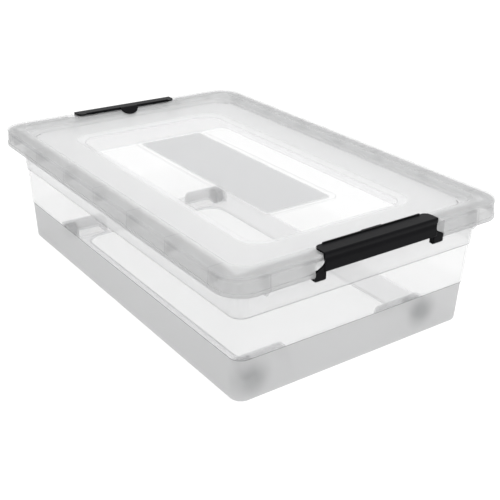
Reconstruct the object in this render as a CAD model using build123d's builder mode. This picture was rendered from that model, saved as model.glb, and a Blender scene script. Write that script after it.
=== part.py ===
"""Under bed box: a wide shallow tub on four wheels, a drop-in lid and two swing clips.

X runs along the box, Y across it, Z up. The origin is on the floor, under the middle of the box.
"""
import os
from math import atan2, cos, degrees, radians, sin, tan

from build123d import *

os.makedirs("parts", exist_ok=True)

# ---- Overall size ----
box_length = 600  # over the bead of the tub's skirt
box_width = 400
flange_z = 167.5  # top of the tub's flange above the floor
ground_gap = 2  # the wheels hold the tub's base this far off the floor

# ---- Tub ----
wall = 1.8
floor_thickness = 2
draft = 2  # degrees, each wall leans outwards going up
ledge = 1  # each step that divides the wall into three bands
lower_ledge_z = 57.4
upper_ledge_z = 110.7
inner_ledge_rise = 1.5  # the inside steps a little above the outside, so no neck is thin
wall_corner = 15  # outside radius of the tub's upright corners
base_round = 4  # outside radius where wall and floor meet
inner_base_round = 3.2
floor_panel_length = 424  # the raised clear middle of the floor
floor_panel_width = 238
floor_panel_corner = 26
floor_panel_rise = 1

# ---- Tub rim: flange, skirt and the ribs between skirt and wall ----
rim_width = 20  # from the bead to the wall, at the flange
rim_corner = 32
flange_thickness = 2
skirt_z = 147.4  # lower edge of the skirt
skirt_thickness = 1.6
skirt_lean = 0.8  # the skirt's top is this far inside its bead
bead_height = 4.5
bead_step = 0.7
bead_lean = 0.1
rib_thickness = 1.6
long_rib_pitch = 85.5
long_rib_count = 7
corner_rib_y = 152  # the rib beside each corner on the short sides
gusset_z = 139.5  # how low those ribs reach
gusset_toe = 6.5  # from the bead to their lowest point

# ---- Clips ----
pivot_inset = 5  # from the bead to the pivot line
pivot_z = 148.5
pin_diameter = 4.5
pin_clearance = 0.05  # on the radius
recess_width = 189  # gap in the skirt that takes one clip
recess_depth = 8.5
recess_apron_z = 159  # lower edge of the short skirt behind the clip
recess_rib = 2.4
boss_radius = 5
boss_flank = 30  # degrees, where the skirt's edge runs into the boss
pin_reach = 2  # how far a pin goes into its rib
clip_side_gap = 0.4  # between a clip's foot and the rib
plate_width = 166
plate_corner = 8
plate_z = 170.5  # underside of the top plate
plate_thickness = 2
plate_depth = 20.6
lip_width = 142
lip_height = 1.5
lip_thickness = 1.8
face_thickness = 3.5
face_foot_z = 149.5  # lower edge of the front face
face_hollow = 1.3  # depth of the soft hollow in the front face
brow_radius = 2.4  # rounding from the plate's top into the front face
brow_setback = 0.4  # the rounding ends this far behind the face's lower ridge
face_chamfer = 1.5
waist_width = 162  # narrowest width of the front face
foot_z = 139.5
foot_width = 14.5
foot_depth = 6
foot_setback = 1  # the foot's front stands this far behind the face
foot_outer_cut = 2  # cut corners at the foot's lower end
foot_inner_cut = 1
flare_run = (1, -0.6)  # direction of the side's curve where it meets the foot
tongue_width = 28
tongue_drop = 7.4
tongue_reach = 8.2
tongue_thickness = 1.8
tongue_rise = 0.8  # its underside starts this far above the plate's
tongue_root = 1.7  # flat part before it slopes down

# ---- Lid ----
lid_gap = 0.3  # seam between the flange and the lid
lid_margin = 1  # the lid's edge is this far inside the bead
lid_rim_thickness = 2.5
lid_thickness = 1.8
lid_edge_round = 1.6
plug_clearance = 0.4  # between the lid's plug and the tub's wall
slope_wall = 2.5  # level thickness of the tray's sloping sides
tray_drop = 10.9  # from the rim's top to the tray
tray_inset_x = 33
tray_inset_y = 29.5
tray_corner = 22
panel_length = 452  # the clear window's bevel starts here
panel_width = 248
panel_corner = 28
panel_drop = 2.4
panel_bevel = 10
label_length = 304  # the frosted field in the middle of the window
label_width = 97
label_corner = 3
label_drop = 0.5
label_margin = 8  # raised frame around that field
arc_radius = 18  # short curved marks in the tray's corners
arc_width = 1.2
arc_depth = 0.5
arc_span = 64  # degrees
notch_width = 174  # the lid is cut back where a clip closes over it
notch_gap = 0.7
notch_drop = 1.3

# ---- Wheels ----
wheel_inset_x = 70  # from the bead to the wheel's middle
wheel_inset_y = 68
wheel_diameter = 24
wheel_width = 11
tread_round = 1.5
hub_diameter = 10
hub_relief = 1.2
axle_diameter = 4
axle_clearance = 0.05
wheel_gap = 2.3  # between the tread and its well
wheel_side_gap = 1
well_wall = 1.8
well_tail = 44  # each well's hump runs on this far towards the middle
cheek = 2.6
socket_depth = 1.6
axle_chamfer = 0.4
snap_width = 3.6  # the sockets open downwards through a slot this wide

# ---- Worked out from the sizes above ----
half_length = box_length / 2
half_width = box_width / 2
lean = tan(radians(draft))
lid_z = flange_z + lid_gap
lid_top = lid_z + lid_rim_thickness
tray_z = lid_top - tray_drop
panel_z = tray_z - panel_drop
pivot_x = half_length - pivot_inset
recess_half = recess_width / 2
foot_half = recess_half - clip_side_gap
plate_top = plate_z + plate_thickness
wheel_x = half_length - wheel_inset_x
wheel_y = half_width - wheel_inset_y
wheel_z = wheel_diameter / 2
well_radius = wheel_diameter / 2 + wheel_gap
well_half = wheel_width / 2 + wheel_side_gap
floor_z = ground_gap + floor_thickness
plug_top_inset = rim_width + wall + plug_clearance
plate_half = plate_width / 2
plate_inner_x = half_length - plate_depth
face_inner_x = half_length - face_thickness
corners = {
    "front_right": (1, -1),
    "back_right": (1, 1),
    "front_left": (-1, -1),
    "back_left": (-1, 1),
}


def wall_inset(z, ledges_above):
    """How far the tub's outer wall stands inside the bead at height z."""
    return rim_width + (flange_z - z) * lean + ledge * ledges_above


def leaning_prism(low_z, low_inset, high_z, high_inset, corner, mode=Mode.ADD):
    """A block with rounded corners whose sides lean from one inset to another."""
    sections = []
    for z, inset in ((low_z, low_inset), (high_z, high_inset)):
        inset_x, inset_y = inset if isinstance(inset, tuple) else (inset, inset)
        with BuildSketch(Plane.XY.offset(z)) as section:
            RectangleRounded(box_length - 2 * inset_x, box_width - 2 * inset_y, corner)
        sections.append(section.sketch)
    loft(sections, ruled=True, mode=mode)


# ---- Tub ----
with BuildPart() as tub_block:
    bands = [
        (ground_gap, lower_ledge_z, 2),
        (lower_ledge_z, upper_ledge_z, 1),
        (upper_ledge_z, flange_z, 0),
    ]
    for low, high, steps in bands:
        leaning_prism(low, wall_inset(low, steps), high, wall_inset(high, steps), wall_corner)
    fillet(tub_block.faces().sort_by(Axis.Z)[0].edges(), base_round)

with BuildPart() as cavity:
    inside_corner = wall_corner - wall
    inside_levels = [
        (floor_z, lower_ledge_z + inner_ledge_rise, 2),
        (lower_ledge_z + inner_ledge_rise, upper_ledge_z + inner_ledge_rise, 1),
        (upper_ledge_z + inner_ledge_rise, flange_z, 0),
    ]
    for low, high, steps in inside_levels:
        low_inset = wall_inset(low, steps) + wall
        high_inset = wall_inset(high, steps) + wall
        leaning_prism(low, low_inset, high, high_inset, inside_corner)
    fillet(cavity.faces().sort_by(Axis.Z)[0].edges(), inner_base_round)

with BuildPart() as rim:
    bead_z = skirt_z + bead_height
    leaning_prism(skirt_z, 0, bead_z, bead_lean, rim_corner)
    leaning_prism(bead_z, bead_step, flange_z, skirt_lean + bead_step, rim_corner)
    under_flange = flange_z - flange_thickness
    inner_skirt = skirt_thickness + bead_step
    leaning_prism(
        skirt_z, inner_skirt, under_flange, inner_skirt + skirt_lean,
        rim_corner - inner_skirt, mode=Mode.SUBTRACT,
    )
    # gaps in the skirt for the clips
    with BuildSketch(Plane.XY.offset(skirt_z)):
        with Locations((half_length, 0), (-half_length, 0)):
            Rectangle(2 * recess_depth, recess_width)
    extrude(amount=flange_z - skirt_z, mode=Mode.SUBTRACT)
    # short apron behind each clip
    apron_x = half_length - recess_depth - skirt_thickness / 2
    with BuildSketch(Plane.XY.offset(recess_apron_z)):
        with Locations((apron_x, 0), (-apron_x, 0)):
            Rectangle(skirt_thickness, recess_width)
    extrude(amount=flange_z - recess_apron_z)

with BuildPart() as ribs:
    rib_outer = bead_step + skirt_lean + skirt_thickness / 2
    rib_inner = rim_width + wall / 2
    rib_span = rib_inner - rib_outer
    rib_middle = (rib_inner + rib_outer) / 2
    with BuildSketch(Plane.XY.offset(skirt_z + bead_height)):
        for index in range(long_rib_count):
            rib_x = (index - (long_rib_count - 1) / 2) * long_rib_pitch
            with Locations((rib_x, half_width - rib_middle), (rib_x, rib_middle - half_width)):
                Rectangle(rib_thickness, rib_span)
    extrude(amount=under_flange - skirt_z - bead_height)
    # ribs beside the corners, with a gusset below the skirt
    for side in (1, -1):
        for rib_y in (corner_rib_y, -corner_rib_y):
            with BuildSketch(Plane.XZ.offset(-rib_y)):
                with BuildLine():
                    Polyline(
                        (side * (half_length - rib_outer), under_flange),
                        (side * (half_length - skirt_thickness), skirt_z),
                        (side * (half_length - gusset_toe), gusset_z),
                        (side * (half_length - rim_width - wall), gusset_z),
                        (side * (half_length - rib_inner), under_flange),
                        close=True,
                    )
                make_face()
            extrude(amount=rib_thickness / 2, both=True)
    # bearing ribs at both ends of each recess
    flank_x = pivot_x + boss_radius * cos(radians(boss_flank))
    flank_z = pivot_z - boss_radius * sin(radians(boss_flank))
    for side in (1, -1):
        for end in (1, -1):
            with BuildSketch(Plane.XZ.offset(-end * (recess_half + recess_rib / 2))):
                with BuildLine():
                    Polyline(
                        (side * (half_length - rib_outer), under_flange),
                        (side * (half_length - skirt_thickness), skirt_z),
                        (side * flank_x, flank_z),
                        (side * pivot_x, pivot_z - boss_radius),
                        (side * (half_length - rim_width - wall), pivot_z - boss_radius),
                        (side * (half_length - rib_inner), under_flange),
                        close=True,
                    )
                make_face()
            extrude(amount=recess_rib / 2, both=True)

with BuildPart() as wells:
    # a hump over each wheel, running on towards the middle of the box
    with BuildSketch(Plane.XZ.offset(-well_half - cheek)):
        for x in (wheel_x, -wheel_x):
            with Locations((x, wheel_z)):
                Circle(well_radius + well_wall)
            with Locations((x, (wheel_z + ground_gap) / 2)):
                Rectangle(2 * (well_radius + well_wall), wheel_z - ground_gap)
    extrude(amount=2 * (well_half + cheek) + well_tail)
    split(bisect_by=Plane.XY.offset(ground_gap), keep=Keep.TOP)

with BuildPart() as well_hollows:
    # the wheel's room, then the hollow tail behind the inner cheek
    tail_start = well_half + cheek
    for start, length in ((-well_half, 2 * well_half), (tail_start, well_tail - well_wall)):
        with BuildSketch(Plane.XZ.offset(start)):
            for x in (wheel_x, -wheel_x):
                with Locations((x, wheel_z)):
                    Circle(well_radius)
                with Locations((x, wheel_z / 2)):
                    Rectangle(2 * well_radius, wheel_z)
        extrude(amount=length)
    # sockets for the axles, open downwards through a snap slot
    with BuildSketch(Plane.XZ):
        for x in (wheel_x, -wheel_x):
            with Locations((x, wheel_z)):
                Circle(axle_diameter / 2 + axle_clearance)
            with Locations((x, wheel_z / 2)):
                Rectangle(snap_width, wheel_z)
    extrude(amount=well_half + socket_depth, both=True)

with BuildPart() as tub:
    add(rim.part)
    add(tub_block.part)
    add(ribs.part)
    add(cavity.part, mode=Mode.SUBTRACT)
    with Locations(Location((0, wheel_y, 0)), Location((0, -wheel_y, 0), (0, 0, 180))):
        add(wells.part)
        add(well_hollows.part, mode=Mode.SUBTRACT)
    # the middle of the floor stands a little higher, above and below
    with BuildSketch(Plane.XY.offset(floor_z)):
        RectangleRounded(floor_panel_length, floor_panel_width, floor_panel_corner)
    extrude(amount=floor_panel_rise)
    with BuildSketch(Plane.XY.offset(ground_gap)):
        RectangleRounded(
            floor_panel_length - floor_thickness, floor_panel_width - floor_thickness, floor_panel_corner
        )
    extrude(amount=floor_panel_rise, mode=Mode.SUBTRACT)
    # holes for the clips' pins
    with BuildSketch(Plane.XZ):
        with Locations((pivot_x, pivot_z), (-pivot_x, pivot_z)):
            Circle(pin_diameter / 2 + pin_clearance)
    extrude(amount=recess_half + recess_rib, both=True, mode=Mode.SUBTRACT)
tub.part.label = "tub"
export_step(tub.part, "parts/tub.step")


# ---- Lid ----
def slope_inset(tray_inset, z):
    """How far the tray's sloping side stands inside the bead at height z."""
    run = tray_inset - plug_top_inset - slope_wall
    return tray_inset - run * (z - tray_z) / (lid_z - tray_z)


def slope_insets(z, outwards=0):
    """The same along X and along Y, moved outwards for the underside."""
    return (slope_inset(tray_inset_x, z) - outwards, slope_inset(tray_inset_y, z) - outwards)


with BuildPart() as lid_rim:
    leaning_prism(lid_z, lid_margin, lid_top, lid_margin, rim_corner - lid_margin)
    fillet(lid_rim.faces().sort_by(Axis.Z)[-1].edges(), lid_edge_round)
    # cut back and thinned where the clips close over the rim
    with BuildSketch(Plane.XY.offset(lid_z)):
        with Locations((half_length, 0), (-half_length, 0)):
            Rectangle(2 * (face_thickness + notch_gap), notch_width)
    extrude(amount=lid_rim_thickness, mode=Mode.SUBTRACT)
    with BuildSketch(Plane.XY.offset(lid_top - notch_drop)):
        with Locations((half_length, 0), (-half_length, 0)):
            Rectangle(2 * (plug_top_inset + notch_drop), notch_width)
    extrude(amount=notch_drop, mode=Mode.SUBTRACT)

with BuildPart() as plug:
    plug_z = tray_z - lid_thickness
    leaning_prism(plug_z, slope_insets(plug_z, slope_wall), lid_z, plug_top_inset, tray_corner)

with BuildPart() as dish:
    leaning_prism(tray_z, slope_insets(tray_z), lid_top, slope_insets(lid_top), tray_corner)

with BuildPart() as window:
    # bevelled recess of the clear window
    window_length = panel_length - 2 * panel_bevel
    window_width = panel_width - 2 * panel_bevel
    window_corner = panel_corner - panel_bevel / 2
    with BuildSketch(Plane.XY.offset(panel_z)):
        RectangleRounded(window_length, window_width, window_corner)
    with BuildSketch(Plane.XY.offset(tray_z)):
        RectangleRounded(panel_length, panel_width, panel_corner)
    loft(ruled=True)
    # raised frame around the label field
    frame_length = label_length + 2 * label_margin
    frame_width = label_width + 2 * label_margin
    with BuildSketch(Plane.XY.offset(panel_z)):
        RectangleRounded(frame_length, frame_width, label_corner + label_margin)
        RectangleRounded(label_length, label_width, label_corner, mode=Mode.SUBTRACT)
    extrude(amount=label_drop, mode=Mode.SUBTRACT)

with BuildPart() as window_pan:
    # the material under the window keeps the lid's thickness
    with BuildSketch(Plane.XY.offset(panel_z - lid_thickness)):
        RectangleRounded(window_length + lid_thickness, window_width + lid_thickness, window_corner)
    with BuildSketch(Plane.XY.offset(tray_z - lid_thickness)):
        RectangleRounded(panel_length + lid_thickness, panel_width + lid_thickness, panel_corner)
    loft(ruled=True)

with BuildPart() as lid:
    add(lid_rim.part)
    add(plug.part)
    add(window_pan.part)
    add(dish.part, mode=Mode.SUBTRACT)
    add(window.part, mode=Mode.SUBTRACT)
    # curved marks sunk into the tray's corners
    with BuildSketch(Plane.XY.offset(tray_z)):
        for side_x, side_y in corners.values():
            mark_angle = degrees(atan2(side_y, side_x)) - arc_span / 2
            centre_x = side_x * (half_length - tray_inset_x - tray_corner)
            centre_y = side_y * (half_width - tray_inset_y - tray_corner)
            mark = CenterArc((centre_x, centre_y), arc_radius, mark_angle, arc_span, mode=Mode.PRIVATE)
            SlotArc(mark, arc_width)
    extrude(amount=-arc_depth, mode=Mode.SUBTRACT)
lid.part.label = "lid"
export_step(lid.part, "parts/lid.step")

# ---- Clips ----
with BuildPart() as front_view:
    # straight top, narrow waist, feet that flare out to the pivots
    waist_half = waist_width / 2
    waist_z = (plate_z + face_foot_z) / 2
    foot_inner = foot_half - foot_width
    with BuildSketch(Plane.YZ.offset(plate_inner_x - tongue_reach - plate_thickness)):
        with BuildLine():
            Line((0, plate_top + lip_height), (plate_half, plate_top + lip_height))
            Line((plate_half, plate_top + lip_height), (plate_half, plate_z))
            Spline(
                (plate_half, plate_z),
                (waist_half, waist_z),
                (foot_half, pivot_z + pin_diameter / 2),
                tangents=[(0, -1), flare_run],
            )
            Polyline(
                (foot_half, pivot_z + pin_diameter / 2),
                (foot_half, foot_z + foot_outer_cut),
                (foot_half - foot_outer_cut, foot_z),
                (foot_inner + foot_inner_cut, foot_z),
                (foot_inner, foot_z + foot_inner_cut),
                (foot_inner, face_foot_z),
                (0, face_foot_z),
            )
            mirror(about=Plane.YZ)
        make_face()
    extrude(amount=plate_depth + tongue_reach + 2 * plate_thickness)

with BuildPart() as tongue:
    # half-round finger that reaches down over the tray's slope
    slant = Vector(-tongue_reach, 0, -tongue_drop).normalized()
    tongue_plane = Plane(
        origin=(plate_inner_x - tongue_root, 0, plate_z + tongue_rise),
        x_dir=(0, 1, 0),
        z_dir=slant.cross(Vector(0, 1, 0)),
    )
    tongue_length = (tongue_reach**2 + tongue_drop**2) ** 0.5
    with BuildSketch(tongue_plane):
        Ellipse(tongue_width / 2, tongue_length)
    extrude(amount=-tongue_thickness)
    slope_start = plate_inner_x - tongue_root + tongue_thickness
    split(bisect_by=Plane.YZ.offset(slope_start), keep=Keep.BOTTOM)
    split(bisect_by=Plane.XY.offset(plate_top + lip_height), keep=Keep.BOTTOM)
    with BuildSketch(Plane.XY.offset(plate_z)):
        with Locations((plate_inner_x, 0)):
            Rectangle(2 * tongue_root, tongue_width)
    extrude(amount=plate_thickness)

with BuildPart() as right_clip:
    with BuildSketch(Plane.XZ):
        with BuildLine():
            brow_x = half_length - brow_setback
            brow_z = plate_top - brow_radius
            Polyline(
                (half_length - face_chamfer, face_foot_z),
                (face_inner_x, face_foot_z),
                (face_inner_x, plate_z),
                (plate_inner_x, plate_z),
                (plate_inner_x, plate_top + lip_height),
                (plate_inner_x + lip_thickness, plate_top + lip_height),
                (plate_inner_x + lip_thickness, plate_top),
                (brow_x - brow_radius, plate_top),
            )
            RadiusArc((brow_x - brow_radius, plate_top), (brow_x, brow_z), brow_radius)
            # soft hollow below the brow, then a ridge at mid height
            Spline(
                (brow_x, brow_z),
                (half_length - face_hollow, (brow_z + waist_z) / 2),
                (half_length, waist_z),
                tangents=[(0, -1), (0, -1)],
            )
            Polyline(
                (half_length, waist_z),
                (half_length, face_foot_z + face_chamfer),
                (half_length - face_chamfer, face_foot_z),
            )
        make_face()
    extrude(amount=plate_half, both=True)
    # rounded ends of the top plate
    with BuildSketch(Plane.XY.offset(face_foot_z)) as plan:
        with Locations((half_length - plate_depth / 2, 0)):
            Rectangle(plate_depth, plate_width)
        fillet(plan.vertices().group_by(Axis.X)[0], plate_corner)
        fillet(plan.vertices().group_by(Axis.X)[-1], face_thickness / 2)
    extrude(amount=plate_top + lip_height - face_foot_z, mode=Mode.INTERSECT)
    # the lip stops short of the rounded ends
    with BuildSketch(Plane.XY.offset(plate_top)):
        with Locations((plate_inner_x, plate_half), (plate_inner_x, -plate_half)):
            Rectangle(4 * lip_thickness, plate_width - lip_width)
    extrude(amount=lip_height, mode=Mode.SUBTRACT)
    # feet with the pivot bosses
    foot_back_x = pivot_x - foot_depth / 2
    foot_front_x = half_length - foot_setback
    for end in (1, -1):
        with BuildSketch(Plane.XZ.offset(-end * foot_inner)):
            with BuildLine():
                Polyline(
                    (foot_back_x, pivot_z),
                    (foot_back_x, foot_z + foot_inner_cut),
                    (foot_back_x + foot_inner_cut, foot_z),
                    (foot_front_x - foot_outer_cut, foot_z),
                    (foot_front_x, foot_z + foot_outer_cut),
                    (foot_front_x, waist_z),
                    (face_inner_x, waist_z),
                    (face_inner_x, pivot_z + foot_depth / 2 + foot_inner_cut),
                    close=True,
                )
            make_face()
            with Locations((pivot_x, pivot_z)):
                Circle(foot_depth / 2)
        extrude(amount=-end * foot_width)
    add(front_view.part, mode=Mode.INTERSECT)
    # pivot pins
    for end in (1, -1):
        with BuildSketch(Plane.XZ.offset(-end * (foot_half - pin_reach))):
            with Locations((pivot_x, pivot_z)):
                Circle(pin_diameter / 2)
        extrude(amount=-end * (2 * pin_reach + clip_side_gap))
    add(tongue.part)
right_clip.part.label = "right_clip"
export_step(right_clip.part, "parts/right_clip.step")

with BuildPart() as left_clip:
    add(right_clip.part)
    mirror(about=Plane.YZ, mode=Mode.REPLACE)
left_clip.part.label = "left_clip"
export_step(left_clip.part, "parts/left_clip.step")

# ---- Wheels and axles ----
for corner, (side_x, side_y) in corners.items():
    hub = (side_x * wheel_x, side_y * wheel_y, wheel_z)

    with BuildPart(Plane(origin=hub, z_dir=(0, 1, 0))) as wheel:
        Cylinder(wheel_diameter / 2, wheel_width)
        fillet(wheel.edges().filter_by(GeomType.CIRCLE), tread_round)
        with BuildSketch(Plane(origin=hub, z_dir=(0, 1, 0)).offset(wheel_width / 2)):
            Circle(wheel_diameter / 2 - 2 * tread_round)
            Circle(hub_diameter / 2, mode=Mode.SUBTRACT)
        extrude(amount=-hub_relief, mode=Mode.SUBTRACT)
        with BuildSketch(Plane(origin=hub, z_dir=(0, 1, 0)).offset(-wheel_width / 2)):
            Circle(wheel_diameter / 2 - 2 * tread_round)
            Circle(hub_diameter / 2, mode=Mode.SUBTRACT)
        extrude(amount=hub_relief, mode=Mode.SUBTRACT)
        Cylinder(axle_diameter / 2 + axle_clearance, wheel_width, mode=Mode.SUBTRACT)
    wheel.part.label = "wheel_" + corner
    export_step(wheel.part, "parts/wheel_" + corner + ".step")

    with BuildPart(Plane(origin=hub, z_dir=(0, 1, 0))) as axle:
        Cylinder(axle_diameter / 2, 2 * (well_half + socket_depth) - 2 * axle_clearance)
        chamfer(axle.edges().filter_by(GeomType.CIRCLE), axle_chamfer)
    axle.part.label = "axle_" + corner
    export_step(axle.part, "parts/axle_" + corner + ".step")
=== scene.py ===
"""Looks for an under bed box: frosted and clear plastic, black swing clips, wheels and a studio."""
from math import cos, radians, sin, tan

import bmesh
import bpy
from mathutils import Matrix, Vector


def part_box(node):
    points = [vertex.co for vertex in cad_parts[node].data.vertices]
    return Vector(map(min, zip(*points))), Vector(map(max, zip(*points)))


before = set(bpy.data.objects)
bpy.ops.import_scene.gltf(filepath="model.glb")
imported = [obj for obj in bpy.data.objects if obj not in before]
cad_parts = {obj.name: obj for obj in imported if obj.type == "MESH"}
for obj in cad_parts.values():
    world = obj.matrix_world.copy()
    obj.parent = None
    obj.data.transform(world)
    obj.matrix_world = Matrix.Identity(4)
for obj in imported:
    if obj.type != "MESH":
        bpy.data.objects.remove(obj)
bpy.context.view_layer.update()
half_length, half_width, tub_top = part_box("tub")[1]
MM = 0.001
CORNERS = ("front_right", "back_right", "front_left", "back_left")

# ---- Places on the box that the finishes follow ----
RIM_WIDTH = 20 * MM  # from the skirt to the wall, at the top
LEDGE = 1 * MM  # each ledge sets the wall below it back by this much
DRAFT = radians(2)
WALL_CORNER = 15 * MM
FLOOR_PANEL_CORNER = 26 * MM
UNDERSIDE_Z = 3 * MM  # only the underside is lower than this
BEAD_Z = 152 * MM
SKIRT_FOOT_Z = 148.2 * MM
SKIRT_Z = 146 * MM
FLANGE_Z = 163 * MM
RIB_PITCH = 85.5 * MM
RIB_END = 262 * MM  # the ribs under the long sides end here
CORNER_RIB_Y = 152 * MM
CORNER_RIB_FOOT_Z = 138 * MM
WINDOW_CORNER = 28 * MM
BEVEL = 10 * MM
BEVEL_CORNER = 23 * MM
LABEL_CORNER = 3 * MM
LABEL_FRAME = 8 * MM
LABEL_FRAME_CORNER = LABEL_CORNER + LABEL_FRAME
MARK_INSET_X = 55 * MM  # from the rim to the middle of each curved corner mark
MARK_INSET_Y = 51.5 * MM
MARK_RADIUS = 18 * MM
CLIP_TOP_Z = 171.8 * MM
SHORT_WALL_X = 252 * MM

# ---- Shared finish values ----
PLASTIC_IOR = 1.49
LINE_SOFTNESS = 0.4 * MM
BUMP_DEPTH = 0.4 * MM
TRIM_BUMP_DEPTH = 0.1 * MM
FLOOR_TINT = (0.66, 0.665, 0.67)
SHADOW_TINT = (0.20, 0.205, 0.21)
TUB_MOTTLE = (0.60, 0.61, 0.62)
LID_MOTTLE = (0.66, 0.662, 0.665)
CLIP_CLOUD = (0.011, 0.011, 0.012)
# tint of the painted highlight on the clips' tops
CLIP_HIGHLIGHT_TINT = (0.02, 0.02, 0.021)
TRIM_CLOUD = (0.55, 0.56, 0.56)
# the wheels' soft shadows on the short walls: place along the wall, height
WHEEL_SHADOWS = ((-152 * MM, 30 * MM), (100 * MM, 36 * MM))
SHADOW_RADIUS = 30 * MM
SHADOW_CORE = 4 * MM

# ---- Studio values ----
FLOOR_SIZE = 12.0
FLOOR_DROP = 0.2 * MM
BRIGHT_SIDE = Vector((-0.35, 0.75, 0.55)).normalized()
LIGHTS = (
    # name, place, size, power
    ("key_light", (1.6, -0.2, 1.5), 1.0, 6),
    ("top_light", (-0.3, 0.6, 2.2), 1.6, 8),
)
LIGHT_AIM = Vector((0, 0, 0.1))
CAMERA_AIM = Vector((47.637, 2.565, 54.231)) * MM

bl_info = {
    "name": "Under Bed Box Looks",
    "version": (1, 0, 0),
    "blender": (4, 5, 0),
    "location": "3D View > Sidebar > Under Bed Box",
    "description": "Moulded plastic finishes and a pale studio for a wheeled under bed box",
    "category": "Material",
}


# ---- Sizes and colours that a user would change ----
class BoxPlasticSettings(bpy.types.PropertyGroup):
    """Colours and clearness of the moulded plastic."""

    frosted: bpy.props.FloatVectorProperty(
        name="Frosted plastic", description="Colour of the frosted plastic of the tub",
        default=(0.63, 0.632, 0.635), size=3, subtype="COLOR", min=0, max=1,
    )
    # the skirt's darker grey is painted shade under the lid's rim, where the skirt also lies over the wall as
    # a second layer of plastic
    skirt: bpy.props.FloatVectorProperty(
        name="Skirt", description="Colour of the skirt around the tub's rim",
        default=(0.72, 0.722, 0.725), size=3, subtype="COLOR", min=0, max=1,
    )
    tray: bpy.props.FloatVectorProperty(
        name="Lid tray", description="Colour of the frosted tray around the lid's window",
        default=(0.84, 0.842, 0.844), size=3, subtype="COLOR", min=0, max=1,
    )
    clear: bpy.props.FloatVectorProperty(
        name="Clear plastic", description="Colour of the thin veil on the clear plastic",
        default=(0.95, 0.952, 0.955), size=3, subtype="COLOR", min=0, max=1,
    )
    label: bpy.props.FloatVectorProperty(
        name="Label field", description="Colour of the frosted field in the window",
        default=(0.60, 0.605, 0.615), size=3, subtype="COLOR", min=0, max=1,
    )
    # the edge colour is also painted shade wherever any surface is seen edge on
    edge: bpy.props.FloatVectorProperty(
        name="Edge line", description="Colour along moulded edges, where the plastic is seen end on",
        default=(0.12, 0.122, 0.125), size=3, subtype="COLOR", min=0, max=1,
    )
    low_veil: bpy.props.FloatProperty(
        name="Bottom band", description="How solid the frosted bottom band looks",
        default=0.88, min=0, max=1, subtype="FACTOR",
    )
    mid_veil: bpy.props.FloatProperty(
        name="Middle band", description="How solid the clear middle band looks",
        default=0.13, min=0, max=1, subtype="FACTOR",
    )
    top_veil: bpy.props.FloatProperty(
        name="Top band", description="How solid the lightly frosted top band looks",
        default=0.32, min=0, max=1, subtype="FACTOR",
    )
    skirt_veil: bpy.props.FloatProperty(
        name="Skirt", description="How much more solid the tub's rim and skirt look than the top band",
        default=0.22, min=0, max=1, subtype="FACTOR",
    )
    inner_veil: bpy.props.FloatProperty(
        name="Bottom band, inside", description="How solid the smooth inner side of the bottom band looks",
        default=0.14, min=0, max=1, subtype="FACTOR",
    )
    floor_veil: bpy.props.FloatProperty(
        name="Floor", description="How solid the frosted part of the tub's floor looks",
        default=0.34, min=0, max=1, subtype="FACTOR",
    )
    tray_veil: bpy.props.FloatProperty(
        name="Tray", description="How solid the lid's frosted tray looks",
        default=0.72, min=0, max=1, subtype="FACTOR",
    )
    glow: bpy.props.FloatProperty(
        name="Glow", description="Share of the light that comes through the plastic from behind",
        default=0.5, min=0, max=1, subtype="FACTOR",
    )
    lower_ledge: bpy.props.FloatProperty(
        name="Lower ledge", description="Height of the ledge above the frosted bottom band",
        default=57.6 * MM, unit="LENGTH",
    )
    upper_ledge: bpy.props.FloatProperty(
        name="Upper ledge", description="Height of the ledge below the top band",
        default=110.9 * MM, unit="LENGTH",
    )
    window_length: bpy.props.FloatProperty(
        name="Window length", description="Length of the clear window in the lid",
        default=452 * MM, unit="LENGTH",
    )
    window_width: bpy.props.FloatProperty(
        name="Window width", description="Width of the clear window in the lid",
        default=248 * MM, unit="LENGTH",
    )
    label_length: bpy.props.FloatProperty(
        name="Label length", description="Length of the frosted field in the window",
        default=304 * MM, unit="LENGTH",
    )
    label_width: bpy.props.FloatProperty(
        name="Label width", description="Width of the frosted field in the window",
        default=97 * MM, unit="LENGTH",
    )
    panel_length: bpy.props.FloatProperty(
        name="Floor panel length", description="Length of the clear panel in the tub's floor",
        default=424 * MM, unit="LENGTH",
    )
    panel_width: bpy.props.FloatProperty(
        name="Floor panel width", description="Width of the clear panel in the tub's floor",
        default=238 * MM, unit="LENGTH",
    )


class BoxTrimSettings(bpy.types.PropertyGroup):
    """Colours of the clips and wheels."""

    clip: bpy.props.FloatVectorProperty(
        name="Clips", description="Colour of the swing clips",
        default=(0.0045, 0.0045, 0.0055), size=3, subtype="COLOR", min=0, max=1,
    )
    wheel: bpy.props.FloatVectorProperty(
        name="Wheels", description="Colour of the floor wheels",
        default=(0.42, 0.425, 0.43), size=3, subtype="COLOR", min=0, max=1,
    )
    axle: bpy.props.FloatVectorProperty(
        name="Axles", description="Colour of the wheels' axle pins",
        default=(0.45, 0.46, 0.47), size=3, subtype="COLOR", min=0, max=1,
    )


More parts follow.
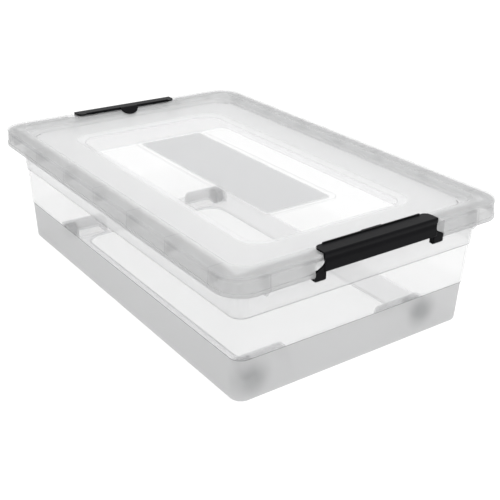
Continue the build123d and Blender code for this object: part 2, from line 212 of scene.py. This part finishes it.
class BoxStudioSettings(bpy.types.PropertyGroup):
    """Light and camera."""

    sky: bpy.props.FloatProperty(
        name="Room light", description="Strength of the even light from all around",
        default=1.15, min=0, max=5,
    )
    front_sky: bpy.props.FloatProperty(
        name="Front light", description="Strength of the even light on the front side",
        default=0.47, min=0, max=5,
    )
    floor_glow: bpy.props.FloatProperty(
        name="Floor glow", description="How much the pale floor shines by itself",
        default=0.93, min=0, max=2,
    )
    lens: bpy.props.FloatProperty(
        name="Lens", description="Focal length of the camera",
        default=63.77, unit="CAMERA",
    )
    distance: bpy.props.FloatProperty(
        name="Camera distance", description="From the camera to the point it looks at",
        default=1.191, unit="LENGTH",
    )
    azimuth: bpy.props.FloatProperty(
        name="Camera azimuth", description="Angle around the box, from the front towards the right",
        default=radians(54.296), subtype="ANGLE",
    )
    elevation: bpy.props.FloatProperty(
        name="Camera elevation", description="Angle above the floor",
        default=radians(25.281), subtype="ANGLE",
    )
    roll: bpy.props.FloatProperty(
        name="Camera roll", description="Turn of the camera about its own line of sight",
        default=radians(0.982), subtype="ANGLE",
    )


# ---- Shader maths ----
class Signal:
    """One socket of a node, for use in sums: each operation adds the Math node for it."""

    def __init__(self, finish, socket):
        self.finish = finish
        self.socket = socket

    def _math(self, operation, first, second=0.0):
        return self.finish.node("ShaderNodeMath", {"operation": operation}, {0: first, 1: second})

    def __add__(self, other):
        return self._math("ADD", self, other)

    def __sub__(self, other):
        return self._math("SUBTRACT", self, other)

    def __rsub__(self, other):
        return self._math("SUBTRACT", other, self)

    def __mul__(self, other):
        return self._math("MULTIPLY", self, other)

    __radd__ = __add__
    __rmul__ = __mul__

    def __abs__(self):
        return self._math("ABSOLUTE", self)

    def __pow__(self, other):
        return self._math("POWER", self, other)

    def line(self, half, soft=LINE_SOFTNESS):
        """1 within half of zero, with a soft edge."""
        return abs(self).fade(half + soft, half)

    def length_with(self, other):
        """The length of the flat vector (self, other)."""
        return self._math("SQRT", self * self + other * other)

    def most(self, other):
        return self._math("MAXIMUM", self, other)

    def least(self, other):
        return self._math("MINIMUM", self, other)

    def fade(self, start, end):
        """0 up to start and 1 from end on, with a smooth change between; start may be the larger."""
        low, high = min(start, end), max(start, end)
        up = self.finish.node(
            "ShaderNodeMapRange", {"interpolation_type": "SMOOTHSTEP"},
            {"Value": self, "From Min": low, "From Max": high},
        )
        return up if start < end else 1 - up


class Finish:
    """One material, or the room's light, and the nodes in it."""

    def __init__(self, owner, output="ShaderNodeOutputMaterial"):
        self.owner = owner
        owner.use_nodes = True
        self.tree = owner.node_tree
        self.tree.nodes.clear()
        self.output = self.tree.nodes.new(output)

    def node(self, kind, settings=None, inputs=None, out=0):
        """Adds a node: its settings first, then the value or link of each named socket."""
        made = self.tree.nodes.new(kind)
        for key, value in (settings or {}).items():
            setattr(made, key, value)
        for key, value in (inputs or {}).items():
            socket = made.inputs[key]
            if isinstance(value, Signal):
                self.tree.links.new(value.socket, socket)
            elif socket.type == "RGBA":
                socket.default_value = (*value[:3], 1)
            else:
                socket.default_value = value
        return Signal(self, made.outputs[out])

    def place(self):
        """The point on the surface, in the box's own frame."""
        return self.node("ShaderNodeTexCoord", out="Object")

    def axes(self, at):
        """X, Y and Z of a point."""
        outputs = self.node("ShaderNodeSeparateXYZ", {}, {"Vector": at}).socket.node.outputs
        return [Signal(self, outputs[axis]) for axis in "XYZ"]

    def blend(self, share, first, second):
        """A colour between two colours."""
        return self.node("ShaderNodeMix", {"data_type": "RGBA"}, {0: share, 6: first, 7: second}, out=2)

    def noise(self, at, scale, detail=2.0):
        return self.node("ShaderNodeTexNoise", {}, {"Vector": at, "Scale": scale, "Detail": detail})

    def bump(self, height, strength, depth):
        return self.node("ShaderNodeBump", {}, {"Strength": strength, "Distance": depth, "Height": height})

    def rounded_box(self, x, y, half_x, half_y, corner):
        """How far a point is outside a rectangle with round corners; negative inside."""
        across = abs(x) - (half_x - corner)
        along = abs(y) - (half_y - corner)
        outside = across.most(0.0).length_with(along.most(0.0))
        return outside + across.most(along).least(0.0) - corner

    def mix_shaders(self, share, first, second):
        return self.node("ShaderNodeMixShader", {}, {0: share, 1: first, 2: second})

    def finish_with(self, surface):
        self.tree.links.new(surface.socket, self.output.inputs["Surface"])
        return self.owner


def dress(node, material):
    """Puts one material on a CAD node."""
    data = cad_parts[node].data
    data.materials.clear()
    data.materials.append(material)


def strongest(masks):
    """The strongest of several masks, each times its own share."""
    result = None
    for mask, share in masks:
        result = mask * share if result is None else result.most(mask * share)
    return result


def rib_lines(finish, x, y, half, soft, start, full):
    """Lines along the ribs of the long sides, on whatever stands further out than start."""
    offset = finish.node("ShaderNodeMath", {"operation": "WRAP"}, {0: x, 1: RIB_PITCH / 2, 2: -RIB_PITCH / 2})
    return offset.line(half, soft) * abs(y).fade(start, full) * abs(x).fade(RIB_END, RIB_END - 2 * MM)


def moulded_bump(finish, at, grain_scale, grain_height, ripple_scale, ripple_height, strength):
    """Fine frosting over the slow ripples that moulding leaves."""
    grain = finish.noise(at, grain_scale) * grain_height
    ripple = finish.noise(at, ripple_scale, 1.0) * ripple_height
    return finish.bump(grain + ripple, strength, BUMP_DEPTH)


def translucent_plastic(finish, look, colour, inner_colour, veil, roughness, bump):
    """Plastic that hides what is behind it by the share in veil, and glows when lit from behind."""
    slant = finish.node("ShaderNodeLayerWeight", {}, {"Blend": 0.5}, out="Facing")
    glare = slant ** 5.0 * 0.9 + 0.035
    # painted shade: the colour turns to the edge colour where the surface is seen edge on, standing in for
    # the dark rims that bent light gives the plastic
    colour = finish.blend(slant.fade(0.72, 0.97) * 0.9, colour, look.edge)
    body = finish.node("ShaderNodeBsdfPrincipled", {}, {
        "Base Color": colour, "Roughness": roughness, "IOR": PLASTIC_IOR, "Normal": bump,
    })
    glow = finish.node("ShaderNodeBsdfTranslucent", {}, {"Color": inner_colour, "Normal": bump})
    solid = finish.mix_shaders(look.glow, body, glow)
    through = finish.node("ShaderNodeBsdfTransparent", {}, {"Color": (1.0, 1.0, 1.0)})
    return finish.mix_shaders(veil.most(glare), through, solid)


# ---- Operators ----
class BOX_OT_tub(bpy.types.Operator):
    """Give the tub its three bands of frosted, clear and lightly frosted plastic"""

    bl_idname = "underbed.tub"
    bl_label = "Tub plastic"

    def execute(self, context):
        look = context.scene.underbed_plastic
        f = Finish(bpy.data.materials.new("tub_plastic"))
        at = f.place()
        x, y, z = f.axes(at)
        low = z.fade(look.lower_ledge + 0.2 * MM, look.lower_ledge - 0.2 * MM)
        top = z.fade(look.upper_ledge - 0.2 * MM, look.upper_ledge + 0.2 * MM)
        # how far a point is outside the leaning wall: the outer skin is frosted, the inner skin smooth
        back = (z - tub_top) * tan(DRAFT) - (1 - top + low) * LEDGE
        skin = f.rounded_box(
            x, y, back + (half_length - RIM_WIDTH), back + (half_width - RIM_WIDTH), WALL_CORNER
        )
        front = 1 - f.node("ShaderNodeNewGeometry", out="Backfacing")
        underside = z.fade(UNDERSIDE_Z, UNDERSIDE_Z - 0.5 * MM)
        outer = (skin.fade(-1.3 * MM, -0.6 * MM) + underside).least(1.0) * front
        # the floor: a clear panel with a crisp edge, frosted around it, and humps over the wheels
        panel = f.rounded_box(x, y, look.panel_length / 2, look.panel_width / 2, FLOOR_PANEL_CORNER)
        bottom = low * skin.fade(-2.0 * MM, -3.5 * MM)
        clear_floor = panel.fade(0.4 * MM, -0.4 * MM) * bottom
        hump = z.fade(5 * MM, 9 * MM) * bottom
        # the rim
        beside = abs(x).fade(half_length - 20 * MM, half_length - 16 * MM).most(
            abs(y).fade(half_width - 20 * MM, half_width - 16 * MM)
        )
        skirt = z.fade(SKIRT_Z, SKIRT_Z + 1 * MM) * beside
        flange = z.fade(FLANGE_Z, FLANGE_Z + 2 * MM)
        outermost = abs(x).fade(half_length - 2.4 * MM, half_length - 1.6 * MM).most(
            abs(y).fade(half_width - 2.4 * MM, half_width - 1.6 * MM)
        )
        # thin darker lines where the plastic is seen end on, and a painted shade line in the gap under the
        # lid's rim
        ledges = (z - look.lower_ledge).line(0.6 * MM).most((z - look.upper_ledge).line(0.6 * MM))
        long_ribs = rib_lines(f, x, y, 0.7 * MM, LINE_SOFTNESS, 181 * MM, 182 * MM)
        corner_ribs = (abs(y) - CORNER_RIB_Y).line(0.7 * MM) * abs(x).fade(281 * MM, 282 * MM)
        rib_feet = z.fade(CORNER_RIB_FOOT_Z, CORNER_RIB_FOOT_Z + 1 * MM)
        lines = strongest((
            (panel.line(0.6 * MM, 0.6 * MM) * bottom, 0.8),
            (ledges * skin.fade(-1.7 * MM, -1.3 * MM) * front, 1.0),
            # painted shade: the dark line of the gap between the lid's rim and the top of the tub's rim
            (z.fade(tub_top - 1.1 * MM, tub_top - 0.7 * MM) * skirt, 0.8),
            (z.fade(SKIRT_FOOT_Z + 0.4 * MM, SKIRT_FOOT_Z - 0.4 * MM) * skirt, 0.5),
            ((z - BEAD_Z).line(0.3 * MM) * outermost, 0.3),
            (long_ribs.most(corner_ribs) * rib_feet, 0.45),
        ))
        # the wheels show as soft shadows through the frosted short walls
        end = abs(x).fade(SHORT_WALL_X, SHORT_WALL_X + 10 * MM)
        along = y * f.node("ShaderNodeMath", {"operation": "SIGN"}, {0: x})
        shade = strongest(
            ((along - place).length_with(z - height).fade(SHADOW_RADIUS, SHADOW_CORE), 1.0)
            for place, height in WHEEL_SHADOWS
        ) * end * low
        # colour
        colour = f.blend(low, look.clear, look.frosted)
        # the skirt's colour: painted shade under the lid's rim, over a second layer of plastic
        colour = f.blend(skirt, colour, look.skirt)
        colour = f.blend(bottom, colour, FLOOR_TINT)
        colour = f.blend(shade * 0.90, colour, SHADOW_TINT)
        colour = f.blend(f.noise(at, 46.0, 3.0) * 0.10, colour, TUB_MOTTLE)
        colour = f.blend(lines, colour, look.edge)
        # how solid it looks
        rim_veil = skirt * look.skirt_veil * (1 - flange * 0.7)
        upper = look.mid_veil + top * (look.top_veil - look.mid_veil) + rim_veil
        frost = look.inner_veil + outer * (look.low_veil - look.inner_veil)
        frost = frost + bottom * (look.floor_veil - look.inner_veil) * (1 - outer)
        frost = frost * (1 - clear_floor * 0.45) * (1 - hump * 0.15)
        veil = (low * frost + (1 - low) * upper).most(lines * 0.75)
        bump = moulded_bump(f, at, 1500.0, low * 0.10 + 0.01, 16.0, 0.5, strength=0.25)
        roughness = low * 0.38 + 0.14 + top * 0.16
        surface = translucent_plastic(f, look, colour, look.frosted, veil, roughness, bump)
        dress("tub", f.finish_with(surface))
        return {"FINISHED"}


class BOX_OT_lid(bpy.types.Operator):
    """Give the lid its frosted tray, clear window and frosted label field"""

    bl_idname = "underbed.lid"
    bl_label = "Lid plastic"

    def execute(self, context):
        look = context.scene.underbed_plastic
        f = Finish(bpy.data.materials.new("lid_plastic"))
        at = f.place()
        x, y, z = f.axes(at)
        window_x, window_y = look.window_length / 2, look.window_width / 2
        label_x, label_y = look.label_length / 2, look.label_width / 2
        window = f.rounded_box(x, y, window_x, window_y, WINDOW_CORNER)
        inner = f.rounded_box(x, y, window_x - BEVEL, window_y - BEVEL, BEVEL_CORNER)
        field = f.rounded_box(x, y, label_x, label_y, LABEL_CORNER)
        border = f.rounded_box(x, y, label_x + LABEL_FRAME, label_y + LABEL_FRAME, LABEL_FRAME_CORNER)
        clear = window.fade(0.2 * MM, -0.4 * MM)
        label = field.fade(0.3 * MM, -0.3 * MM)
        bevel = clear * inner.fade(-0.3 * MM, 0.3 * MM)
        rim = z.fade(162 * MM, 166 * MM)
        # curved marks in the tray's corners
        mark_x = abs(x) - (half_length - MARK_INSET_X)
        mark_y = abs(y) - (half_width - MARK_INSET_Y)
        mark = (mark_x.length_with(mark_y) - MARK_RADIUS).line(0.8 * MM)
        mark = mark * mark_x.least(mark_y).fade(3.5 * MM, 5.5 * MM) * (1 - rim)
        # thin darker lines, with the ribs of the tub's rim seen through the lid's slope
        lines = strongest((
            (inner.line(0.5 * MM), 0.35),
            (border.line(0.5 * MM), 0.40),
            (mark, 0.7),
            (rib_lines(f, x, y, 0.9 * MM, 0.5 * MM, 178 * MM, 180 * MM), 0.3),
        ))
        colour = f.blend(clear, look.tray, look.clear)
        colour = f.blend(label, colour, look.label)
        colour = f.blend(f.noise(at, 30.0, 3.0) * 0.08, colour, LID_MOTTLE)
        colour = f.blend(lines, colour, look.edge)
        window_veil = label * 0.55 + 0.12 + bevel * 0.35
        veil = clear * window_veil + (1 - clear) * (look.tray_veil - rim * 0.38)
        veil = veil.most(lines * 0.7)
        frost = (1 - clear) * 0.05 + label * 0.05 + 0.005
        bump = moulded_bump(f, at, 1200.0, frost, 12.0, (1 - rim) * 0.4, strength=0.2)
        roughness = (1 - clear) * 0.24 + 0.12 + label * 0.25
        surface = translucent_plastic(f, look, colour, look.tray, veil, roughness, bump)
        dress("lid", f.finish_with(surface))
        return {"FINISHED"}


class BOX_OT_clips(bpy.types.Operator):
    """Give both swing clips their black satin plastic"""

    bl_idname = "underbed.clips"
    bl_label = "Clip plastic"

    def execute(self, context):
        trim = context.scene.underbed_trim
        f = Finish(bpy.data.materials.new("clip_plastic"))
        at = f.place()
        z = f.axes(at)[2]
        cloud = f.noise(at, 22.0)
        # painted highlight: the top of each clip is drawn lighter, standing in for the sky's reflection on it
        painted_top_highlight = z.fade(CLIP_TOP_Z, CLIP_TOP_Z + 2.2 * MM)
        colour = f.blend(cloud * 0.4, trim.clip, CLIP_CLOUD)
        colour = f.blend(painted_top_highlight * 0.4, colour, CLIP_HIGHLIGHT_TINT)
        material = f.finish_with(f.node("ShaderNodeBsdfPrincipled", {}, {
            "Base Color": colour, "Roughness": cloud * 0.12 + 0.34, "IOR": PLASTIC_IOR,
            "Normal": f.bump(f.noise(at, 900.0), 0.3, TRIM_BUMP_DEPTH), "Specular IOR Level": 0.05,
        }))
        dress("right_clip", material)
        dress("left_clip", material)
        return {"FINISHED"}


class BOX_OT_wheels(bpy.types.Operator):
    """Give the wheels their grey plastic and the axle pins theirs"""

    bl_idname = "underbed.wheels"
    bl_label = "Wheels and axles"

    def execute(self, context):
        trim = context.scene.underbed_trim
        for part, colour, rough in (("wheel", trim.wheel, 0.45), ("axle", trim.axle, 0.35)):
            f = Finish(bpy.data.materials.new(part + "_plastic"))
            at = f.place()
            cloud = f.noise(at, 90.0, 3.0)
            material = f.finish_with(f.node("ShaderNodeBsdfPrincipled", {}, {
                "Base Color": f.blend(cloud * 0.35, colour, TRIM_CLOUD),
                "Roughness": cloud * 0.15 + rough, "IOR": PLASTIC_IOR,
                "Normal": f.bump(f.noise(at, 700.0), 0.3, TRIM_BUMP_DEPTH),
            }))
            for corner in CORNERS:
                dress(part + "_" + corner, material)
        return {"FINISHED"}


class BOX_OT_studio(bpy.types.Operator):
    """Set a pale floor, soft light and the camera"""

    bl_idname = "underbed.studio"
    bl_label = "Studio"

    def set_floor(self, studio):
        shape = bmesh.new()
        bmesh.ops.create_grid(shape, x_segments=8, y_segments=8, size=FLOOR_SIZE)
        mesh = bpy.data.meshes.new("studio_floor")
        shape.to_mesh(mesh)
        shape.free()
        floor = bpy.data.objects.new("studio_floor", mesh)
        bpy.context.scene.collection.objects.link(floor)
        floor.location.z = -FLOOR_DROP
        f = Finish(bpy.data.materials.new("studio_floor"))
        tone = f.blend(f.noise(f.place(), 4.0), (0.16, 0.16, 0.16), (0.18, 0.18, 0.18))
        mesh.materials.append(f.finish_with(f.node("ShaderNodeBsdfPrincipled", {}, {
            "Base Color": tone, "Roughness": 0.9, "Specular IOR Level": 0.1,
            "Emission Color": (1.0, 1.0, 1.0), "Emission Strength": studio.floor_glow,
        })))

    def set_room(self, studio):
        """Even light all around, stronger from behind the box, and white where the camera sees it."""
        room = Finish(bpy.data.worlds.new("studio_room"), "ShaderNodeOutputWorld")
        direction = room.node("ShaderNodeTexCoord", out="Generated")
        towards = room.node(
            "ShaderNodeVectorMath", {"operation": "DOT_PRODUCT"}, {0: direction, 1: BRIGHT_SIDE}, out="Value"
        )
        level = room.node("ShaderNodeMapRange", {}, {
            "Value": towards, "From Min": -1.0, "To Min": studio.front_sky, "To Max": studio.sky,
        })
        seen = room.node("ShaderNodeLightPath", out="Is Camera Ray")
        light = room.node("ShaderNodeBackground", {}, {
            "Color": (1.0, 1.0, 1.0), "Strength": level.most(seen),
        })
        bpy.context.scene.world = room.finish_with(light)

    def set_light(self, name, place, size, power):
        data = bpy.data.lights.new(name, "AREA")
        data.shape = "DISK"
        data.size = size
        data.energy = power
        lamp = bpy.data.objects.new(name, data)
        bpy.context.scene.collection.objects.link(lamp)
        lamp.location = place
        lamp.rotation_euler = (LIGHT_AIM - Vector(place)).to_track_quat("-Z", "Y").to_euler()

    def set_camera(self, studio):
        data = bpy.data.cameras.new("studio_camera")
        data.sensor_width = 36
        data.lens = studio.lens
        data.clip_start = 0.01
        camera = bpy.data.objects.new("studio_camera", data)
        bpy.context.scene.collection.objects.link(camera)
        around, above, roll = studio.azimuth, studio.elevation, studio.roll
        back = Vector((cos(above) * sin(around), -cos(above) * cos(around), sin(above)))
        right = Vector((cos(around), sin(around), 0))
        across = right * cos(roll) + back.cross(right) * sin(roll)
        turn = Matrix((across, back.cross(across), back)).transposed().to_4x4()
        camera.matrix_world = Matrix.Translation(CAMERA_AIM + back * studio.distance) @ turn
        bpy.context.scene.camera = camera

    def execute(self, context):
        studio = context.scene.underbed_studio
        self.set_floor(studio)
        self.set_room(studio)
        for light in LIGHTS:
            self.set_light(*light)
        self.set_camera(studio)
        context.scene.view_settings.view_transform = "Standard"
        return {"FINISHED"}


class BOX_PT_looks(bpy.types.Panel):
    """The box's looks, piece by piece"""

    bl_idname = "BOX_PT_looks"
    bl_label = "Under Bed Box"
    bl_space_type = "VIEW_3D"
    bl_region_type = "UI"
    bl_category = "Under Bed Box"

    def draw(self, context):
        for operator in OPERATORS:
            self.layout.operator(operator.bl_idname)
        for name in SETTINGS:
            group = getattr(context.scene, name)
            box = self.layout.box()
            for key in group.__annotations__:
                box.prop(group, key)


SETTINGS = {
    "underbed_plastic": BoxPlasticSettings,
    "underbed_trim": BoxTrimSettings,
    "underbed_studio": BoxStudioSettings,
}
OPERATORS = (BOX_OT_tub, BOX_OT_lid, BOX_OT_clips, BOX_OT_wheels, BOX_OT_studio)


def register():
    for kind in (*SETTINGS.values(), *OPERATORS, BOX_PT_looks):
        bpy.utils.register_class(kind)
    for name, kind in SETTINGS.items():
        setattr(bpy.types.Scene, name, bpy.props.PointerProperty(type=kind))


def unregister():
    for name in SETTINGS:
        delattr(bpy.types.Scene, name)
    for kind in reversed((*SETTINGS.values(), *OPERATORS, BOX_PT_looks)):
        bpy.utils.unregister_class(kind)


def main():
    register()
    bpy.ops.underbed.tub()
    bpy.ops.underbed.lid()
    bpy.ops.underbed.clips()
    bpy.ops.underbed.wheels()
    bpy.ops.underbed.studio()


if __name__ == "__main__":
    main()
